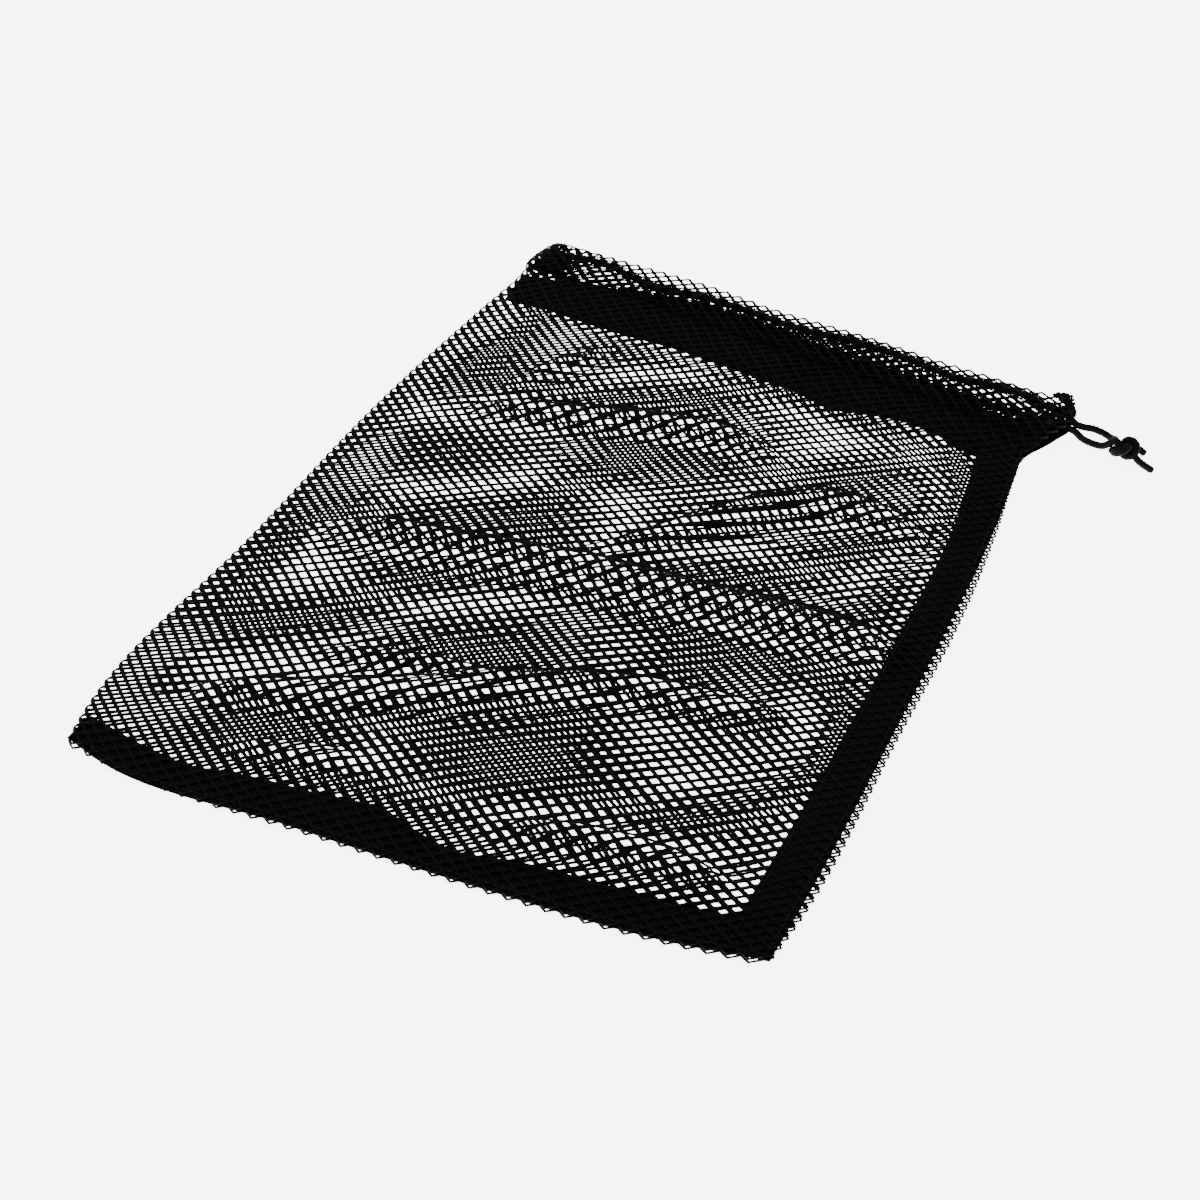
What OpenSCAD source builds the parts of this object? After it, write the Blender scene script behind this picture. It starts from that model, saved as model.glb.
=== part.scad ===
// Mesh laundry bag with a drawcord, lying flat on its back layer.
// Millimetres. +X runs across the bag towards the cord outlet, +Y along the bag towards its mouth,
// +Z up. The origin is under the middle of the bag, on the surface that it lies on.

/* [Bag] */
// Width across the bottom of the bag
bag_w = 306; // [300:2:320]
// Length along the folded side, from the bottom corner to the mouth corner
bag_l = 424; // [410:2:440]
// How much further up the right bottom corner lies than the left one
bottom_rise = 12; // [0:1:20]
// How much lower the right mouth corner lies than the left one
mouth_drop = 26; // [20:1:30]
// How far the mouth draws in at the folded side
mouth_inset = 21; // [15:1:24]
// Thickness of the knitted mesh
mesh_t = 0.8; // [0.6:0.1:1]
// Height of the front layer's underside over the surface, in the middle of the bag
front_height = 10.2; // [10.2:0.1:12]

/* [Seams] */
// Width of the tape inside the side and bottom seams
tape_w = 19; // [15:1:22]
// Thickness of every tape
tape_t = 0.7; // [0.5:0.1:0.8]
// Width of the mesh left outside the seam tapes
seam_margin = 5; // [3:0.5:7]
// Width of a row of sewing thread
thread_w = 0.8; // [0.5:0.1:1.2]

/* [Hem and casing] */
// Width of the tape along the hem of each layer
hem_tape_w = 25; // [20:1:27]
// Width of the cord casing beyond the hem, along the bag
casing_w = 34; // [32:1:36]
// Height of one casing with the cord in it
casing_h = 4.8; // [4.8:0.1:5]
// Wall of the casing
casing_wall = 0.4; // [0.3:0.1:0.4]

/* [Drawcord] */
// Diameter of the braided drawcord
cord_d = 3.2; // [2.8:0.1:3.2]
// Radius of each lobe of the overhand knot
knot_lobe_r = 3.5; // [3:0.1:4]

/* [Hidden] */

mesh_colour = [0.03, 0.03, 0.03];
tape_colour = [0.02, 0.02, 0.02];
cord_colour = [0.05, 0.05, 0.05];
thread_colour = [0.08, 0.08, 0.08];

half_w = bag_w / 2;
half_l = bag_l / 2;
ply_gap = 0.1;                                        // air between two sewn plies
tape_z = mesh_t + ply_gap;                            // underside of the tapes on the back layer
seam_z = tape_z + tape_t + ply_gap;                   // underside of the front mesh over a seam
hem_edge_z = seam_z + tape_t + ply_gap;               // the same at the ends of the hem
fold_r = (seam_z + mesh_t) / 2;                       // outer radius of the fold on the left side
slope_w = 45;                                         // the front layer climbs to its height over this
front_casing_z = front_height - tape_t - ply_gap;     // underside of the front casing in the middle
outlet_x = half_w - 3;                                // end of the casings, where the cord comes out
casing_end_x = -half_w + mouth_inset + 18;            // left ends of the casings, beside the fold
casing_fold_leg = 8;                                  // straight legs of the casing's fold
thread_h = 0.3;                                       // how far a row of stitches stands up

// Rows across the bag: how far along it (0 bottom, 1 mouth), the left point and the right point
hem_v = 0.86;
casing_v = 0.92;
rows = [
    [0, [-half_w + fold_r, -half_l], [half_w, -half_l + bottom_rise]],
    [0.56, [-half_w + 2, 24], [half_w, 40]],
    [hem_v, [-half_w + 7, half_l - casing_w - hem_tape_w],
            [half_w - 10, half_l - mouth_drop - casing_w - hem_tape_w + 6]],
    [casing_v, [-half_w + 9, half_l - casing_w], [half_w - 4, half_l - mouth_drop - casing_w + 4]],
    [1, [-half_w + mouth_inset, half_l], [outlet_x, half_l - mouth_drop]]
];

// The drawcord from the outlet along the front layer, round the folded end and back along the back layer.
// Each point is across the bag and along it; its height comes from the casing it lies in.
front_run = [
    [150, 178], [145, 178], [130, 183], [120, 184], [108, 183], [96, 182], [90, 183], [80, 185], [67, 188],
    [53, 190], [40, 191], [21, 190], [2, 191], [-17, 194], [-41, 196], [-55, 195], [-65, 194],
    [-74, 195], [-80, 197], [-86, 199], [-94, 202], [-104, 204], [-112, 205]
];
turn = [[-119, 204.5, 6.8], [-124.5, 201.5, 5.8], [-126, 197.5, 4.8], [-124.5, 193.5, 3.8], [-119, 190.5, 2.8]];
back_run = [
    [-112, 190], [-100, 190], [-80, 190], [-60, 189], [-40, 188], [-20, 186], [0, 185], [20, 183],
    [40, 182], [60, 181], [80, 179], [100, 177], [120, 175], [145, 173], [150, 173]
];
cord_seat = casing_h / 2;
cord_r = cord_d / 2;
cord_sides = 8;

// The free end, on the surface: two strands to the knot, and two tails out of it
front_strand = [[150.4, 178, 7.3], [153, 178, 7], [157, 177.5, 5], [162, 177, 2.6], [168, 176, 1.8],
                [174.5, 174.5, 2.4]];
back_strand = [[150.4, 173, 2.4], [153, 173, 2.3], [157, 171.5, 2], [162, 169, 1.8], [167, 167, 1.8],
               [171, 166.5, 1.8], [175, 167.5, 2.4]];
knot_lobes = [[180, 172, 4], [183.5, 168, 3.6], [185, 173, 3.8]];
long_tail = [[187.5, 165.8, 2.2], [191, 163, 1.8], [195, 160, 1.7], [199, 157.5, 1.7]];
short_tail = [[188.7, 173.5, 2.6], [191, 173.3, 2.2], [193.5, 172.5, 2]];

function mix(a, b, t) = a * (1 - t) + b * t;
function fold_edge(v) = plan(0, v) - [ply_gap, 0];
function clamp01(t) = min(1, max(0, t));
function along(v, side, k) = lookup(v, [for (r = rows) [r[0], r[side][k]]]);
function edge(v, side) = [along(v, side, 0), along(v, side, 1)];
// A place on the bag's plan: u across from the fold (0) to the seam (1), v from bottom (0) to mouth (1)
function plan(u, v) = mix(edge(v, 1), edge(v, 2), u);
function span(n, a, b) = [for (i = [0:n]) mix(a, b, i / n)];
// The marks between a and b, with a and b themselves at the ends
function marks_between(marks, a, b) = concat([a], [for (m = marks) if (m > a && m < b) m], [b]);
function u_from_seam(mm) = 1 - mm / bag_w;
function v_from_bottom(mm) = mm / bag_l;
function flat(list) = [for (row = list) for (item = row) item];

seam_w = seam_margin + tape_w;
slope_steps = 4;
// Where the front layer bends: across from the fold to the seam, and from the bottom to the mouth
across_marks = concat(span(slope_steps, 0, slope_w / bag_w),
                      span(slope_steps, u_from_seam(seam_w + slope_w), u_from_seam(seam_w)));
along_marks = concat(span(slope_steps, v_from_bottom(seam_w), v_from_bottom(seam_w + slope_w)),
                     [rows[1][0], hem_v - 0.08, hem_v, casing_v]);

// Height of the front layer's underside: low along the fold and the seams, level in the middle
function front_z(u, v) =
    let (low = lookup(v, [[0, seam_z], [hem_v - 0.08, seam_z], [hem_v, hem_edge_z],
                          [casing_v, casing_h + ply_gap]]),
         from_fold = u * bag_w / slope_w,
         from_seam = ((1 - u) * bag_w - seam_w) / slope_w,
         from_bottom = (v * bag_l - seam_w) / slope_w)
    mix(low, front_height, clamp01(from_fold) * clamp01(from_seam) * clamp01(from_bottom));
// Height of the front casing's underside: on the back casing at both ends, raised in the middle
casing_bends = [[-112, casing_h + ply_gap], [-80, front_casing_z], [90, front_casing_z],
                [130, casing_h + ply_gap]];
function casing_z(x) = lookup(x, casing_bends);

// A wall between two grids of points: lower and upper, or inner and outer. wrap closes it round
module wall(a, b, wrap = false) {
    n = len(a);
    m = len(a[0]);
    count = wrap ? m : m - 1;
    function low(i, j) = i * m + j % m;
    function high(i, j) = n * m + i * m + j % m;
    skins = [for (i = [0:n - 2]) for (j = [0:count - 1]) each [
        [low(i, j), low(i + 1, j), low(i + 1, j + 1)], [low(i, j), low(i + 1, j + 1), low(i, j + 1)],
        [high(i, j), high(i + 1, j + 1), high(i + 1, j)], [high(i, j), high(i, j + 1), high(i + 1, j + 1)]
    ]];
    ends = [for (j = [0:count - 1]) each [
        [low(n - 1, j), high(n - 1, j), high(n - 1, j + 1)],
        [low(n - 1, j), high(n - 1, j + 1), low(n - 1, j + 1)],
        [low(0, j), high(0, j + 1), high(0, j)], [low(0, j), low(0, j + 1), high(0, j + 1)]
    ]];
    sides = wrap ? [] : [for (i = [0:n - 2]) each [
        [low(i, 0), high(i, 0), high(i + 1, 0)], [low(i, 0), high(i + 1, 0), low(i + 1, 0)],
        [low(i, m - 1), high(i + 1, m - 1), high(i, m - 1)],
        [low(i, m - 1), low(i + 1, m - 1), high(i + 1, m - 1)]
    ]];
    polyhedron(points = concat(flat(a), flat(b)), faces = concat(skins, ends, sides));
}

// A flat strip of the plan, lying at height z
module flat_strip(u0, u1, v0, v1, z, t) {
    us = span(1, u0, u1);
    vs = marks_between([for (r = rows) r[0]], v0, v1);
    right_side = [for (v = vs) plan(us[1], v)];
    left_side = [for (i = [len(vs) - 1:-1:0]) plan(us[0], vs[i])];
    translate([0, 0, z])
        linear_extrude(t)
            polygon(concat(right_side, left_side));
}

// A strip of the plan that follows the front layer, lift above its underside
module front_strip(u0, u1, v0, v1, lift, t) {
    function point(u, v, z) = let (p = plan(u, v)) [p.x, p.y, front_z(u, v) + z];
    us = marks_between(across_marks, u0, u1);
    vs = marks_between(along_marks, v0, v1);
    wall([for (u = us) [for (v = vs) point(u, v, lift)]],
         [for (u = us) [for (v = vs) point(u, v, lift + t)]]);
}

// A flattened sleeve across the bag, open at both ends, on the heights that base_z gives
module sleeve(base_z) {
    corner = 1.2;
    function line_y(x, v) = lookup(x, [edge(v, 1), edge(v, 2)]);
    function ring(x, inset) =
        let (y0 = line_y(x, casing_v) + 0.5 + inset, y1 = line_y(x, 1) - inset,
             z0 = base_z(x) + inset, z1 = base_z(x) + casing_h - inset, c = corner - inset / 2)
        [[x, y0 + c, z1], [x, y1 - c, z1], [x, y1, z1 - c], [x, y1, z0 + c],
         [x, y1 - c, z0], [x, y0 + c, z0], [x, y0, z0 + c], [x, y0, z1 - c]];
    xs = marks_between([for (b = casing_bends) b.x], casing_end_x, outlet_x);
    wall([for (x = xs) ring(x, casing_wall)], [for (x = xs) ring(x, 0)], true);
}

// The mesh turned round the folded side, from the surface up to top_z, with legs that reach inwards
module fold(v0, v1, top_z, leg, t) {
    turns = 8;
    function ring(p, middle, r) = concat(
        leg > 0 ? [[p.x + leg, p.y, middle + r]] : [],
        [for (i = [0:turns]) let (a = 90 + 180 * i / turns) [p.x + r * cos(a), p.y, middle + r * sin(a)]],
        leg > 0 ? [[p.x + leg, p.y, middle - r]] : []);
    vs = marks_between(along_marks, v0, v1);
    wall([for (v = vs) let (r = top_z(v) / 2) ring(fold_edge(v), r, r - t)],
         [for (v = vs) let (r = top_z(v) / 2) ring(fold_edge(v), r, r)]);
}

// A round cord through a list of points
module cord(path) {
    n = len(path);
    function tangent(i) = let (d = path[min(n - 1, i + 1)] - path[max(0, i - 1)]) d / norm(d);
    function ring(i) =
        let (t = tangent(i), s = cross(t, [0, 0, 1]) / norm(cross(t, [0, 0, 1])), up = cross(s, t))
        [for (k = [0:cord_sides - 1]) let (a = 360 * (k + 0.5) / cord_sides)
            path[i] + cord_r * (cos(a) * s + sin(a) * up)];
    points = concat(flat([for (i = [0:n - 1]) ring(i)]), [path[0], path[n - 1]]);
    function at(i, k) = i * cord_sides + k % cord_sides;
    start = n * cord_sides;
    faces = concat(
        [for (i = [0:n - 2]) for (k = [0:cord_sides - 1]) each [
            [at(i, k), at(i + 1, k + 1), at(i, k + 1)], [at(i, k), at(i + 1, k), at(i + 1, k + 1)]]],
        [for (k = [0:cord_sides - 1]) each [
            [start, at(0, k), at(0, k + 1)], [start + 1, at(n - 1, k + 1), at(n - 1, k)]]]);
    polyhedron(points = points, faces = faces);
}

module back_mesh_panel() {
    color(mesh_colour) flat_strip(0, 1, 0, casing_v, 0, mesh_t);
}

module front_mesh_panel() {
    color(mesh_colour) front_strip(0, 1, 0, casing_v, 0, mesh_t);
}

module side_fold_mesh() {
    color(mesh_colour)
        fold(0, casing_v - 0.001, function(v) front_z(0, v) + mesh_t, 0, mesh_t);
}

module side_seam_tape() {
    color(tape_colour)
        flat_strip(u_from_seam(seam_margin + tape_w), u_from_seam(seam_margin),
                   v_from_bottom(seam_margin + tape_w + ply_gap), hem_v - 0.002, tape_z, tape_t);
}

module bottom_seam_tape() {
    color(tape_colour)
        flat_strip(0.012, u_from_seam(seam_margin), v_from_bottom(seam_margin),
                   v_from_bottom(seam_margin + tape_w), tape_z, tape_t);
}

module back_hem_tape() {
    color(tape_colour) flat_strip(0.02, 0.975, hem_v, casing_v, tape_z, tape_t);
}

module front_hem_tape() {
    color(tape_colour) front_strip(0.02, 0.975, hem_v, casing_v, -tape_t - ply_gap, tape_t);
}

module back_cord_casing() {
    color(mesh_colour) sleeve(function(x) 0);
}

module front_cord_casing() {
    color(mesh_colour) sleeve(function(x) casing_z(x));
}

module casing_fold_mesh() {
    color(mesh_colour)
        fold(casing_v + 0.001, 1, function(v) 2 * casing_h + ply_gap, casing_fold_leg, casing_wall);
}

// Two rows of thread, one along each edge of the tape, on top of the front mesh
module side_seam_stitching() {
    color(thread_colour)
        for (mm = [seam_margin + 2, seam_margin + tape_w - 2])
            flat_strip(u_from_seam(mm + thread_w / 2), u_from_seam(mm - thread_w / 2),
                       v_from_bottom(seam_margin + tape_w + 2), hem_v - 0.09, seam_z + mesh_t + ply_gap,
                       thread_h);
}

module bottom_seam_stitching() {
    color(thread_colour)
        for (mm = [seam_margin + 2, seam_margin + tape_w - 2])
            flat_strip(0.02, u_from_seam(seam_margin + 4), v_from_bottom(mm - thread_w / 2),
                       v_from_bottom(mm + thread_w / 2), seam_z + mesh_t + ply_gap, thread_h);
}

module back_hem_stitching() {
    color(thread_colour)
        for (v = [hem_v + 0.005, casing_v - 0.005])
            flat_strip(0.3, 0.7, v - 0.001, v + 0.001, tape_z + tape_t + ply_gap, thread_h);
}

module front_hem_stitching() {
    color(thread_colour)
        for (v = [hem_v + 0.005, casing_v - 0.005])
            front_strip(0.02, 0.975, v - 0.001, v + 0.001, mesh_t + ply_gap, thread_h);
}

// Dense rows of thread that close the ends of the front casing beside the cord outlet
module outlet_bar_tacks() {
    tack = [1.6, 4, 0.6];
    color(thread_colour)
        for (y = [164, 184.5])
            translate([outlet_x - 4, y - tack.y / 2, casing_z(outlet_x - 4) + casing_h + 0.5])
                cube(tack);
}

module drawcord_loop() {
    color(cord_colour)
        cord(concat([for (p = front_run) [p.x, p.y, casing_z(p.x) + cord_seat]], turn,
                    [for (p = back_run) [p.x, p.y, cord_seat]]));
}

module front_cord_strand() {
    color(cord_colour) cord(front_strand);
}

module back_cord_strand() {
    color(cord_colour) cord(back_strand);
}

module cord_knot() {
    color(cord_colour)
        hull()
            for (p = knot_lobes)
                translate(p) sphere(knot_lobe_r, $fn = 24);
}

module long_cord_tail() {
    color(cord_colour) cord(long_tail);
}

module short_cord_tail() {
    color(cord_colour) cord(short_tail);
}

back_mesh_panel();
front_mesh_panel();
side_fold_mesh();
side_seam_tape();
bottom_seam_tape();
back_hem_tape();
front_hem_tape();
back_cord_casing();
front_cord_casing();
casing_fold_mesh();
side_seam_stitching();
bottom_seam_stitching();
back_hem_stitching();
front_hem_stitching();
outlet_bar_tacks();
drawcord_loop();
front_cord_strand();
back_cord_strand();
cord_knot();
long_cord_tail();
short_cord_tail();
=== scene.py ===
"""A mesh laundry bag with a drawcord, lying flat on its back layer on a pale table.

The bag is one sheet of knitted mesh folded along its left side. Tapes cover the side and bottom seams,
a hem tape runs under the mouth of each layer, and the mesh turns over beyond it as a casing for the cord.
"""

import logging
import math
from dataclasses import dataclass
from enum import Enum
from typing import Callable, Sequence

import bpy
import numpy as np
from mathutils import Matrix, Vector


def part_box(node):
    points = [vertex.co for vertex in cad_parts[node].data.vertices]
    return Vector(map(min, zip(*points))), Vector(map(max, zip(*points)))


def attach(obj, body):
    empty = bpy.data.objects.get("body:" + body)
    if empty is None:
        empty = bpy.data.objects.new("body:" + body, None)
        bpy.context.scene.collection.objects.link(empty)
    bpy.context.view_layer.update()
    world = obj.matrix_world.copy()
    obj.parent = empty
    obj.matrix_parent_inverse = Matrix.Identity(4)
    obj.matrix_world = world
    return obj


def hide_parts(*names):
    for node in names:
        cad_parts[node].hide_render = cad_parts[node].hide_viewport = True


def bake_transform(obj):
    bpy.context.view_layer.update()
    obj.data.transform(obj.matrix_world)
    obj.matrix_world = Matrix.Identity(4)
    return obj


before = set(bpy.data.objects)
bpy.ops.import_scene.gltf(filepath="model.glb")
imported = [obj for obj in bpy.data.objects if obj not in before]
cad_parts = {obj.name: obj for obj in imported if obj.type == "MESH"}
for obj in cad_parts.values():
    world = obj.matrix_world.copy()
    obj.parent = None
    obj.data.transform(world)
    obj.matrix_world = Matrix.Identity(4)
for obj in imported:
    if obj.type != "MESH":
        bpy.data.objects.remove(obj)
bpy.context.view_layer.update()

MM = 0.001
BAG, CORD, CORD_END = "bag", "drawcord", "cord_end"
log = logging.getLogger("laundry_bag")


class Slot(Enum):
    """The record's material slots."""

    MESH = "knit_mesh"
    TAPE = "seam_tape"
    CORD = "braided_cord"
    THREAD = "thread"


# ---------------------------------------------------------------- shading

class Signal:
    """A shader socket that sums can be written with."""

    def __init__(self, paint: "Paint", socket: bpy.types.NodeSocket) -> None:
        """Wraps one output socket of the material that paint writes."""
        self.paint = paint
        self.socket = socket

    def _math(self, operation: str, first: object, second: object = None) -> "Signal":
        """Adds one Math node.

        Args:
            operation: the node's operation.
            first: its first input, a Signal or a number.
            second: its second input, or None for an operation of one input.

        Returns:
            The node's result.
        """
        inputs = {0: first} if second is None else {0: first, 1: second}
        return self.paint.node("ShaderNodeMath", {"operation": operation}, inputs)

    def __add__(self, other: object) -> "Signal":
        """This plus other."""
        return self._math("ADD", self, other)

    def __radd__(self, other: object) -> "Signal":
        """Other plus this."""
        return self._math("ADD", other, self)

    def __sub__(self, other: object) -> "Signal":
        """This less other."""
        return self._math("SUBTRACT", self, other)

    def __rsub__(self, other: object) -> "Signal":
        """Other less this."""
        return self._math("SUBTRACT", other, self)

    def __mul__(self, other: object) -> "Signal":
        """This times other."""
        return self._math("MULTIPLY", self, other)

    def __rmul__(self, other: object) -> "Signal":
        """Other times this."""
        return self._math("MULTIPLY", other, self)

    def sine(self) -> "Signal":
        """The sine of this, in radians."""
        return self._math("SINE", self)

    def size(self) -> "Signal":
        """This without its sign."""
        return self._math("ABSOLUTE", self)


class Paint:
    """Writes one material's nodes."""

    def __init__(self, name: str) -> None:
        """Starts a material with a Principled shader.

        Args:
            name: the material's name.
        """
        self.material = bpy.data.materials.new(name)
        self.material.use_nodes = True
        self.nodes = self.material.node_tree.nodes
        self.links = self.material.node_tree.links
        self.shader = self.nodes["Principled BSDF"]

    def feed(self, socket: bpy.types.NodeSocket, value: object) -> None:
        """Links a Signal to a socket, or sets the socket to a plain value."""
        if isinstance(value, Signal):
            self.links.new(value.socket, socket)
        else:
            socket.default_value = value

    def node(self, kind: str, settings: dict, inputs: dict, output: int | str = 0) -> Signal:
        """Adds a node of any kind.

        Args:
            kind: the node's type.
            settings: its properties, which are set first.
            inputs: a value or a Signal for each socket that is set.
            output: the socket that is returned.

        Returns:
            The output as a Signal.
        """
        made = self.nodes.new(kind)
        for key, value in settings.items():
            setattr(made, key, value)
        for key, value in inputs.items():
            self.feed(made.inputs[key], value)
        return Signal(self, made.outputs[output])

    def place(self) -> Signal:
        """The piece's own coordinates, in metres."""
        return self.node("ShaderNodeTexCoord", {}, {}, "Object")

    def split(self, vector: Signal) -> tuple[Signal, Signal]:
        """The first two parts of a vector."""
        first = self.node("ShaderNodeSeparateXYZ", {}, {0: vector})
        return first, Signal(self, first.socket.node.outputs[1])

    def uv(self) -> tuple[Signal, Signal]:
        """The piece's U and V, in metres along it and across it."""
        return self.split(self.node("ShaderNodeUVMap", {"uv_map": "UVMap"}, {}))

    def noise(self, per_metre: float, detail: float = 3.0) -> Signal:
        """Soft noise on the piece's own coordinates, with so many lumps to the metre."""
        inputs = {"Vector": self.place(), "Scale": per_metre, "Detail": detail}
        return self.node("ShaderNodeTexNoise", {}, inputs)

    def finish(self, dark: Sequence[float], light: Sequence[float], mask: Signal,
               rough: object, relief: Signal, depth: float, gloss: float) -> bpy.types.Material:
        """Joins a finish's parts to the shader.

        Args:
            dark: the colour where mask is 0.
            light: the colour where mask is 1.
            mask: what the colour follows.
            rough: the roughness, a number or a Signal.
            relief: the height of the surface, from 0 to 1.
            depth: how deep the relief is, in metres.
            gloss: the specular level.

        Returns:
            The material.
        """
        colour = self.node("ShaderNodeMix", {"data_type": "RGBA"},
                           {0: mask, 6: (*dark, 1), 7: (*light, 1)}, 2)
        self.feed(self.shader.inputs["Base Color"], colour)
        self.feed(self.shader.inputs["Roughness"], rough)
        bump = self.node("ShaderNodeBump", {}, {"Height": relief, "Distance": depth, "Strength": 1.0})
        self.feed(self.shader.inputs["Normal"], bump)
        self.shader.inputs["Specular IOR Level"].default_value = gloss
        return self.material


@dataclass(frozen=True)
class KnitFinish:
    """Black polyester filament, knitted."""

    dark: tuple = (0.0015, 0.0015, 0.0017)
    light: tuple = (0.005, 0.005, 0.0055)
    fibres: float = 2600.0
    gloss: float = 0.04

    def material(self) -> bpy.types.Material:
        """The yarn's material: fine filaments with a dull sheen, a little paler where it is worn."""
        paint = Paint("black_knitted_polyester")
        fibre = paint.noise(self.fibres, 4.0)
        wear = paint.noise(40.0, 2.0)
        return paint.finish(self.dark, self.light, fibre * wear * 1.6,
                            0.62 + 0.3 * fibre, fibre, 0.00012, self.gloss)


@dataclass(frozen=True)
class TapeFinish:
    """Black woven tape with fine ribs across it."""

    dark: tuple = (0.0018, 0.0018, 0.002)
    light: tuple = (0.0075, 0.0075, 0.0082)
    rib: float = 0.0011
    gloss: float = 0.04

    def material(self) -> bpy.types.Material:
        """The tape's material: ribs that follow its length, broken up by lint."""
        paint = Paint("black_woven_tape")
        along, across = paint.uv()
        ribs = (along * (2 * math.pi / self.rib)).sine() * 0.5 + 0.5
        warp = (across * (2 * math.pi / (self.rib * 0.6))).sine() * 0.5 + 0.5
        lint = paint.noise(900.0, 4.0)
        return paint.finish(self.dark, self.light, ribs * lint,
                            0.8 + 0.18 * lint, ribs * 0.6 + warp * 0.25 + lint * 0.5, 0.0002, self.gloss)


@dataclass(frozen=True)
class CordFinish:
    """Black braided cord."""

    dark: tuple = (0.0015, 0.0015, 0.0016)
    light: tuple = (0.007, 0.007, 0.0075)
    pitch: float = 0.0042
    gloss: float = 0.04

    def material(self) -> bpy.types.Material:
        """The cord's material: two sets of strands that cross, each made of fine filaments."""
        paint = Paint("black_braided_cord")
        along, around = paint.uv()
        turn = around * (4 * 2 * math.pi)
        step = along * (2 * math.pi / self.pitch)
        braid = (step + turn).sine().size() * 0.5 + (step - turn).sine().size() * 0.5
        fibre = paint.noise(3200.0, 3.0)
        return paint.finish(self.dark, self.light, braid * fibre,
                            0.55 + 0.3 * fibre, braid * 0.8 + fibre * 0.3, 0.00022, self.gloss)


@dataclass(frozen=True)
class ThreadFinish:
    """Black sewing thread."""

    dark: tuple = (0.003, 0.003, 0.0033)
    light: tuple = (0.014, 0.014, 0.015)
    twist: float = 9000.0
    gloss: float = 0.06

    def material(self) -> bpy.types.Material:
        """The thread's material: a twist that shows as slanting lines."""
        paint = Paint("black_sewing_thread")
        x, y = paint.split(paint.place())
        twist = ((x + y) * self.twist).sine() * 0.5 + 0.5
        fibre = paint.noise(3000.0)
        return paint.finish(self.dark, self.light, twist * fibre,
                            0.5 + 0.25 * fibre, twist, 0.0001, self.gloss)


@dataclass(frozen=True)
class TableFinish:
    """A plain white table top, lit from all round."""

    dark: tuple = (0.86, 0.86, 0.86)
    light: tuple = (0.9, 0.9, 0.9)
    glow: float = 6.0

    def material(self) -> bpy.types.Material:
        """The table's material, with a trace of unevenness."""
        paint = Paint("pale_table")
        grain = paint.noise(30.0, 2.0)
        paint.shader.inputs["Emission Color"].default_value = (1, 1, 1, 1)
        paint.shader.inputs["Emission Strength"].default_value = self.glow
        return paint.finish(self.dark, self.light, grain, 0.8, grain, 0.0001, 0.1)


# ---------------------------------------------------------------- curves and meshes

def smoothstep(t: np.ndarray) -> np.ndarray:
    """A smooth rise from 0 to 1 as t goes from 0 to 1."""
    t = np.clip(t, 0, 1)
    return t * t * (3 - 2 * t)


def ramp(value: np.ndarray, start: float, width: float) -> np.ndarray:
    """A smooth rise from 0 at start to 1 at start + width, or a fall if width is negative."""
    return smoothstep((value - start) / width)


def spline(x: np.ndarray, knots: Sequence[Sequence[float]]) -> np.ndarray:
    """A smooth curve through knots of (x, y), with x rising.

    Args:
        x: where the curve is wanted.
        knots: the points it passes through.

    Returns:
        The curve's y at each x.
    """
    kx, ky = np.array(knots, float).T
    slope = np.gradient(ky, kx)
    x = np.clip(x, kx[0], kx[-1])
    i = np.clip(np.searchsorted(kx, x, side="right") - 1, 0, len(kx) - 2)
    h = kx[i + 1] - kx[i]
    t = (x - kx[i]) / h
    return ((1 + 2 * t) * (1 - t) ** 2 * ky[i] + t * (1 - t) ** 2 * h * slope[i]
            + t * t * (3 - 2 * t) * ky[i + 1] + t * t * (t - 1) * h * slope[i + 1])


def smooth_path(points: Sequence[Sequence[float]], step: float) -> np.ndarray:
    """A smooth line through points, with a point about every step of its length.

    Args:
        points: the points it passes through.
        step: the spacing that is wanted.

    Returns:
        The line's points.
    """
    p = np.array(points, float)
    gaps = np.linalg.norm(np.diff(p, axis=0), axis=1)
    where = np.concatenate([[0], np.cumsum(gaps)])
    fine = np.linspace(0, where[-1], max(8, int(where[-1] / step * 3)))
    line = np.stack([spline(fine, np.stack([where, p[:, k]], 1)) for k in range(p.shape[1])], 1)
    run = np.concatenate([[0], np.cumsum(np.linalg.norm(np.diff(line, axis=0), axis=1))])
    even = np.linspace(0, run[-1], max(3, int(run[-1] / step) + 1))
    return np.stack([np.interp(even, run, line[:, k]) for k in range(p.shape[1])], 1)


def new_piece(name: str, points: np.ndarray, faces: list, finish: bpy.types.Material,
              uv: np.ndarray | None = None) -> bpy.types.Object:
    """Makes a smooth mesh piece.

    Args:
        name: the piece's name.
        points: its vertices.
        faces: the vertices of each face, in order.
        finish: its material.
        uv: a UV for each vertex, or None.

    Returns:
        The piece.
    """
    mesh = bpy.data.meshes.new(name)
    mesh.from_pydata(points.tolist(), [], faces)
    mesh.polygons.foreach_set("use_smooth", [True] * len(mesh.polygons))
    if uv is not None:
        layer = mesh.uv_layers.new(name="UVMap")
        corners = np.zeros(len(mesh.loops), np.int32)
        mesh.loops.foreach_get("vertex_index", corners)
        layer.data.foreach_set("uv", uv[corners].astype(np.float32).ravel())
    mesh.materials.append(finish)
    piece = bpy.data.objects.new(name, mesh)
    bpy.context.scene.collection.objects.link(piece)
    mesh.update()
    log.info("%s: %d faces", name, len(mesh.polygons))
    return piece


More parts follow.
